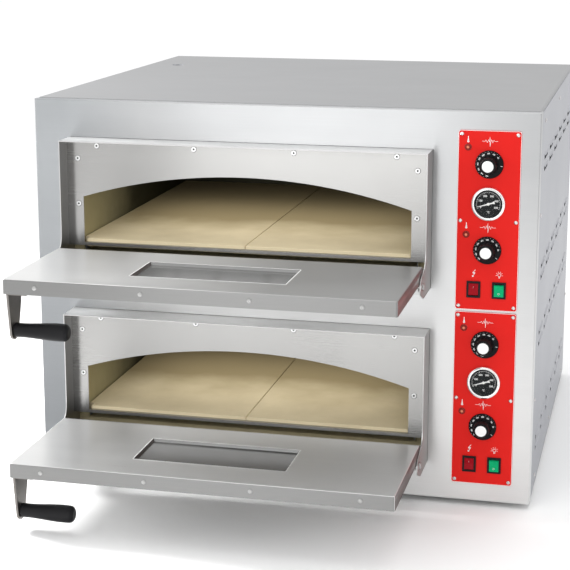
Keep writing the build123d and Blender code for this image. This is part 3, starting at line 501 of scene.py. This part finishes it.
# ---- the object ---------------------------------------------------------------------------------
def dress_all():
    """A material for every CAD node."""
    # The fascia's corner tones are painted reflection and shade: duller upper left, dark lower left,
    # bright lower right.
    front_steel_painted_reflection_shade = brushed("front_steel_painted_reflection_shade", (0.42, 0.425, 0.43), 0.33, "X", anisotropy=0.85,
                          corners=((0.36, 0.373, 0.385), (0.19, 0.198, 0.206), (0.66, 0.66, 0.655)))
    # Door tones: ends and front are painted shade on the end and front faces; right is a painted
    # reflection and shade tone towards the right end, darker on the upper door.
    for deck, right in (("upper", (0.31, 0.31, 0.307)), ("lower", (0.66, 0.66, 0.655))):
        door_steel_painted_reflection_shade = brushed(f"{deck}_door_steel_painted_reflection_shade", (0.64, 0.64, 0.635), 0.30, "X",
                             ends=(0.12, 0.10, 0.096), front=(0.215, 0.215, 0.212), anisotropy=0.9,
                             scatter=0.2, right=right)
        dress(door_steel_painted_reflection_shade, f"{deck}_door_inner_skin", f"{deck}_door_outer_skin")
    # Hood tones: ends is painted shade on the side faces, top is painted light on the top face.
    hood_steel_painted_shade_light = brushed("hood_steel_painted_shade_light", (0.46, 0.46, 0.455), 0.34, "Z", ends=(0.33, 0.326, 0.32),
                         top=(0.82, 0.82, 0.815))
    mouth_steel = brushed("mouth_steel", (0.36, 0.357, 0.35), 0.24, "X", anisotropy=0.9)
    side_steel = brushed("side_steel", (0.355, 0.362, 0.39), 0.42, "Y", anisotropy=0.3)
    top_steel = brushed("top_steel", (0.30, 0.302, 0.308), 0.42, "X", anisotropy=0.3)
    dress(front_steel_painted_reflection_shade, "fascia")
    dress(hood_steel_painted_shade_light, *both("hood"))
    dress(mouth_steel, *both("mouth_plate"))
    dress(side_steel, "left_side_panel", "right_side_panel")
    dress(top_steel, "top_cover")
    dress(zinc_sheet(), "back_panel", "base_pan", "deck_rails", "floor_trays", "steam_outlet")
    dress(liner_steel(), *both("chamber_liner"))
    dress(fired_clay(), "floor_tiles")
    dress(plated("element_sheath", (0.16, 0.13, 0.12), 0.5), "heating_elements")
    dress(wool(), "insulation_jackets", *both("door_insulation"))
    dress(screws_painted_socket_shade(), "mouth_plate_screws")
    dress(plated("bright_screw", (0.62, 0.60, 0.59), 0.2), "casing_screws", "control_plate_screws")
    dress(plated("dull_screw", (0.42, 0.42, 0.415), 0.34),
          *both("door_fasteners"), "hinge_pins", "door_stops")
    dress(lacquer(), "control_plates")
    # Dark steel tone: painted shade on the bracket's faces.
    dress(brushed("bracket_steel", (0.17, 0.16, 0.15), 0.36, "Z"), *both("handle_bracket"))
    black = moulded("black_bakelite", (0.012, 0.012, 0.013), 0.36)
    dress(black, *both("handle_grip"), "switch_frames", "cable_gland")
    dress(moulded("terminal_plastic", (0.55, 0.5, 0.38), 0.5), "terminal_block", "thermostats")
    dress(moulded("foot_rubber", (0.02, 0.02, 0.02), 0.75), "rubber_feet")
    dress(moulded("wire_sleeve", (0.35, 0.05, 0.04), 0.6), "wiring_looms")
    dress(clear("pane", (0.095, 0.095, 0.093), through=0.1, roughness=0.14, shine=0.35),
          *both("door_glass"))
    dress(clear("instrument_glass", (0.03, 0.03, 0.03), through=0.0, film=0.03),
          "gauge_glasses", "chamber_lamp_glasses")
    dress(plated("lamp_holder", (0.5, 0.5, 0.5), 0.4), "chamber_lamp_holders")
    dress(moulded("gauge_black", (0.016, 0.018, 0.019), 0.55), "gauge_cases")
    dress(plated("gauge_ring", (0.90, 0.90, 0.90), 0.16), "gauge_bezels")
    dress(moulded("needle_white", (0.86, 0.86, 0.84), 0.5), *both("gauge_needle"))
    dress(lens("red_key", (0.28, 0.004, 0.010), 0.05), *both("power_rocker"))
    dress(lens("green_key", (0.004, 0.36, 0.14), 0.05), *both("light_rocker"))
    dress(neon_lens(), "pilot_lamps")
    dress(knob_finish(), *[f"{deck}_{heat}_knob" for deck in DECKS for heat in KNOBS])


def screws_painted_socket_shade():
    """Bright screw heads, each with a socket whose floor lies behind the head's face and is painted dark
    as shade.
    """
    made = Shader("screw_painted_socket_shade", (0.7, 0.7, 0.7), metallic=1.0, roughness=0.25)
    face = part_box("mouth_plate_screws")[0].y
    # Painted shade: the socket floor, behind the head's face, is made dark.
    socket = made.remap(made.along("Y"), 0.0, 1.0, face + 0.15 * MM, face + 0.5 * MM)
    spots = made.noise((1, 1, 1), size=900.0, detail=2.0)
    made.feed("Base Color", made.blend(socket, (0.7, 0.7, 0.7), (0.02, 0.02, 0.02)))
    made.feed("Roughness", made.remap(spots, 0.2, 0.4))
    return made.material


def knob_finish():
    """Black moulded knob whose end cap is white: the cap is what lies proud of the knob's end."""
    made = Shader("knob_plastic", (0.008, 0.008, 0.009), roughness=0.34, Specular_IOR_Level=0.08)
    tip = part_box("upper_top_heat_knob")[0].y
    cap = made.remap(made.along("Y"), 1.0, 0.0, tip + 0.95 * MM, tip + 1.0 * MM)
    speck = made.noise((1, 1, 1), size=1400.0, detail=2.0)
    made.feed("Base Color", made.blend(cap, (0.008, 0.008, 0.009), (0.86, 0.86, 0.85)))
    made.feed("Roughness", made.remap(speck, 0.3, 0.4))
    made.bump(speck, 0.15, 0.05 * MM)
    return made.material


def knob_marks(white):
    """Temperature figures, ticks and the off mark on each knob's sloping skirt."""
    slope = Matrix.Rotation(-math.radians(SKIRT_SLOPE), 4, "X")
    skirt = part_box("control_plates")[0].y - SKIRT_RISE
    for deck in DECKS:
        for heat in KNOBS:
            name = f"{deck}_{heat}_knob"
            middle = centre(name)
            seat = facing_front(middle.x, skirt, middle.z)
            off = KNOB_OFF_TURN[heat]
            first = off - KNOB_GAP
            marks = []
            for i in range(KNOB_FIGURES):
                turn = Matrix.Rotation(-math.radians(first - KNOB_STEP * i), 4, "Z")
                place = seat @ turn @ Matrix.Translation((0, KNOB_FIGURE_RING, 0)) @ slope
                marks.append(text_mesh(str(50 * (i + 1)), 3.4 * MM, place))
            half_steps = [first - KNOB_STEP / 2 * i for i in range(2 * KNOB_FIGURES - 1)]
            ticks = [spoke(turn, *KNOB_TICK_RING) for turn in half_steps]
            marks.append(stroke_mesh(ticks, 0.5 * MM, seat @ Matrix.Translation((0, 0, -0.72 * MM))))
            mark = [spoke(off, *KNOB_MARK_RING)]
            marks.append(stroke_mesh(mark, 0.9 * MM, seat @ Matrix.Translation((0, 0, -0.1 * MM))))
            joined(marks, f"{name}_scale", white, name)


def gauge_marks(white):
    """Printed scale of each dial thermometer."""
    middle = centre("gauge_bezels").x
    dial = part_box("gauge_cases")[0].y - 0.05 * MM
    turns = [DIAL_START + DIAL_STEP * i for i in range(DIAL_FIGURES)]
    fine_turns = [DIAL_START + DIAL_STEP / 5 * i for i in range(5 * DIAL_FIGURES - 4)]
    for deck in DECKS:
        seat = facing_front(middle, dial, gauge_height(deck))
        meshes = []
        for i, turn in enumerate(turns):
            _, (x, y) = spoke(turn, 0, DIAL_FIGURE_RING)
            meshes.append(text_mesh(str(100 * i), 4.8 * MM, seat @ Matrix.Translation((x, y, 0))))
        long_ticks = [spoke(turn, 20.0 * MM, DIAL_TICK_RING) for turn in turns]
        short_ticks = [spoke(turn, 20.2 * MM, DIAL_TICK_RING) for turn in fine_turns]
        ring = ring_points(DIAL_TICK_RING, turns[0], turns[-1], 46)
        meshes.append(stroke_mesh(long_ticks, 0.6 * MM, seat))
        meshes.append(stroke_mesh([*short_ticks, ring], 0.32 * MM, seat))
        meshes.append(text_mesh("°C", 4.6 * MM, seat @ Matrix.Translation((0, -15.5 * MM, 0))))
        joined(meshes, f"{deck}_gauge_scale", white, "oven")


def gauge_height(deck):
    """The height of a deck's dial: both rings share one CAD node."""
    low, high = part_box("gauge_bezels")
    radius = (high.x - low.x) / 2
    return high.z - radius if deck == "upper" else low.z + radius


def plate_symbols(white):
    """White rim and pictograms of the coloured plates: heater, thermometer, power and lamp."""
    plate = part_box("control_plates")[0].y
    face = plate - 0.02 * MM
    for deck in DECKS:
        meshes = [stroke_mesh([plate_edge(deck)], 0.8 * MM, facing_front(0, plate, 0))]
        for heat in KNOBS:
            knob = centre(f"{deck}_{heat}_knob")
            over = facing_front(knob.x, face, knob.z + HEATER_RISE)
            beside = facing_front(knob.x - THERMOMETER_SIDE, face, knob.z + THERMOMETER_RISE)
            meshes.append(stroke_mesh(heater_symbol(), 0.6 * MM, over))
            meshes.append(stroke_mesh(thermometer_symbol(), 1.3 * MM, beside))
        for which, symbol, width in (("power", power_symbol(), 1.0), ("light", lamp_symbol(), 0.8)):
            key = centre(f"{deck}_{which}_rocker")
            meshes.append(stroke_mesh(symbol, width * MM, facing_front(key.x, face, key.z + SWITCH_RISE)))
        joined(meshes, f"{deck}_plate_symbols", white, "oven")


def plate_edge(deck):
    """The outline of a deck's coloured plate, just inside its rim, with rounded corners."""
    low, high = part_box("control_plates")
    tall = (high.z - low.z - PLATE_GAP) / 2
    bottom = low.z if deck == "lower" else high.z - tall
    reach, rise = (high.x - low.x) / 2 - PLATE_CORNER, tall / 2 - PLATE_CORNER
    return rounded(((low.x + high.x) / 2, bottom + tall / 2), reach, rise, PLATE_CORNER - 0.6 * MM)


def rounded(middle, reach, rise, radius):
    """A closed rectangle with round corners, its corner centres reach and rise from the middle."""
    points = []
    for turn, (side, up) in enumerate(((1, 1), (-1, 1), (-1, -1), (1, -1))):
        for step in range(7):
            a = math.radians(90 * turn + 15 * step)
            points.append((middle[0] + side * reach + radius * math.cos(a),
                           middle[1] + up * rise + radius * math.sin(a)))
    return points + points[:1]


def heater_symbol():
    """A line that breaks into zigzags, tallest in the middle."""
    zigzag = ((-14.5, 0), (-8.8, 0), (-6.9, 2.4), (-4.8, -2.6), (-2.6, 3.2), (-0.9, -1.5), (0, 8),
              (0.3, -10), (1.4, -1), (2.9, 3.2), (5, -2.6), (7, 2.4), (8.8, 0), (14.5, 0))
    return separate([zigzag])


def thermometer_symbol():
    """A stem that widens downwards, with a bulb."""
    stem = [(0, 6 * MM), (0, -3.6 * MM)]
    flanks = [[(side * 0.5 * MM, 1 * MM), (side * 0.7 * MM, -3.6 * MM)] for side in (-1, 1)]
    bulb = [(x, y - 3.6 * MM) for x, y in ring_points(1.5 * MM, 90, -270, 8)]
    return [stem, *flanks, bulb]


def power_symbol():
    """A slanting flash with an arrow tip."""
    flash = [(3.0, 7), (-2.4, 0.8), (2.2, 1.4), (-2.4, -6.5)]
    waist = [(-1.8, -0.2), (1.6, 0.4)]
    tip = [(-2.9, -3.8), (-2.7, -6.9), (-0.2, -5.2)]
    return separate([flash, waist, tip])


def separate(lines):
    """Lines given in millimetres, cut at their corners so that each stretch keeps its full width."""
    scaled = [[(x * MM, y * MM) for x, y in line] for line in lines]
    return [pair for line in scaled for pair in zip(line, line[1:])]


def lamp_symbol():
    """A bulb with rays."""
    bulb = ring_points(3.0 * MM, -145, 145, 14)
    base = [[(-1.7 * MM, h * MM), (1.7 * MM, h * MM)] for h in (-2.6, -4.2, -5.6)]
    rays = [spoke(a, 4.6 * MM, 6.6 * MM) for a in (-100, -60, -20, 20, 60, 100)]
    return [bulb, *base, *rays]


def key_marks(white):
    """On and off marks moulded into the two slopes of each rocker key."""
    on = [(0, -1.6 * MM), (0, 1.6 * MM)]
    off = ring_points(1.6 * MM, 0, 360, 20)
    for deck in DECKS:
        for which, tilt in (("power", KEY_TILT), ("light", -KEY_TILT)):
            name = f"{deck}_{which}_rocker"
            middle = centre(name)
            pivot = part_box(name)[0].y + KEY_PIVOT_DEPTH
            seat = facing_front(middle.x, pivot, middle.z + math.copysign(0.5 * MM, tilt))
            seat = seat @ Matrix.Rotation(math.radians(tilt), 4, "X")
            marks = []
            for side, shape in ((1, on), (-1, off)):
                slope = Matrix.Rotation(math.radians(side * KEY_SLOPE), 4, "X")
                place = seat @ Matrix.Translation((0, side * KEY_MARK_UP, KEY_MARK_OUT)) @ slope
                marks.append(stroke_mesh([shape], 0.5 * MM, place))
            joined(marks, f"{name}_marks", white, name)


def window_rims(bright):
    """A painted highlight: a bright strip round the recess of each door's window, on its upper face when
    open.
    """
    for deck in DECKS:
        low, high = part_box(f"{deck}_door_glass")
        middle, reach = (low + high) / 2, (high - low) / 2
        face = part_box(f"{deck}_door_inner_skin")[1].z
        out = RIM_OUT - RIM_CORNER
        line = rounded((middle.x, middle.y), reach.x + out, reach.y + out, RIM_CORNER)
        rim = stroke_mesh([line], 1.8 * MM, Matrix.Translation((0, 0, face)))
        joined([rim], f"{deck}_window_rim", bright, f"{deck}_door")


def soften_edges():
    """Rounds the folded and cut edges that catch the light."""
    for node in ("fascia", "top_cover", "left_side_panel", "right_side_panel", "control_plates",
                 *both("hood"), *both("mouth_plate"), *both("door_inner_skin"), *both("door_outer_skin")):
        soften(node)


def add_prints():
    """Everything printed or moulded on the CAD nodes, and the painted highlights round the door windows.
    """
    white = moulded("print_white", (0.85, 0.85, 0.84), 0.5, grain=400.0, depth=0.05)
    knob_marks(white)
    gauge_marks(white)
    plate_symbols(white)
    # The window rims are painted highlights.
    window_rims(plated("painted_highlight_rim", (0.88, 0.88, 0.87), 0.3, metallic=0.2))
    key_marks(moulded("key_mark", (0.75, 0.75, 0.75), 0.4, grain=400.0, depth=0.05))


# ---- studio -------------------------------------------------------------------------------------
def studio():
    """Pale paper floor, even white surroundings and soft lights."""
    floor_mesh = bpy.data.meshes.new("studio_floor")
    ground = bmesh.new()
    bmesh.ops.create_circle(ground, cap_ends=True, radius=30.0, segments=96)
    ground.to_mesh(floor_mesh)
    ground.free()
    paper = Shader("studio_paper", (0.9, 0.9, 0.9), roughness=0.85)
    tone = paper.noise((1, 1, 1), size=0.6, detail=2.0)
    paper.feed("Base Color", paper.blend(tone, (0.94, 0.94, 0.94), (0.96, 0.96, 0.96)))
    floor_mesh.materials.append(paper.material)
    linked(floor_mesh, "studio_floor")

    world = bpy.data.worlds.new("studio")
    bpy.context.scene.world = world
    world.use_nodes = True
    world.node_tree.nodes["Background"].inputs["Color"].default_value = (1, 1, 1, 1)
    world.node_tree.nodes["Background"].inputs["Strength"].default_value = 1.08

    softbox("strip", (-0.68, -3.9, 1.2), (-0.1, 0, 0.5), (1.2, 2.4), 20)
    softbox("side", (-1.55, -0.36, 1.45), (-0.35, -0.5, 0.35), (0.4, 0.6), 45)
    softbox("overhead", (0, -0.4, 3.6), (0, -0.4, 0), (3.0, 3.0), 30)
    for deck in DECKS:
        low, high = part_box(f"{deck}_chamber_liner")
        middle, deep = (low.x + high.x) / 2, low.y + GLOW_DEPTH
        roof, sole = (middle, deep, high.z - 8 * MM), (middle, deep + 0.02, low.z)
        softbox(f"{deck}_chamber", roof, sole, (GLOW_SIDE, GLOW_SIDE), GLOW_POWER)


def softbox(name, place, aim, size, power):
    """A rectangular area light aimed at a point."""
    data = bpy.data.lights.new(name, "AREA")
    data.shape = "RECTANGLE"
    data.size, data.size_y = size
    data.energy = power
    lamp = linked(data, name)
    lamp.location = place
    lamp.rotation_euler = (Vector(aim) - Vector(place)).to_track_quat("-Z", "Y").to_euler()


def camera():
    """Slightly above and to the right of the front."""
    data = bpy.data.cameras.new("camera")
    eye = linked(data, "camera")
    eye.location = (CAMERA_RIGHT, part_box("fascia")[0].y - CAMERA_BACK, CAMERA_UP)
    eye.rotation_euler = (math.pi / 2 - CAMERA_DOWN, 0, CAMERA_TURN)
    data.lens = CAMERA_LENS
    data.sensor_width = 36.0
    data.shift_y = CAMERA_SHIFT
    data.clip_end = 100.0
    bpy.context.scene.camera = eye


bpy.context.scene.view_settings.view_transform = "Standard"
camera()
studio()
dress_all()
add_prints()
soften_edges()
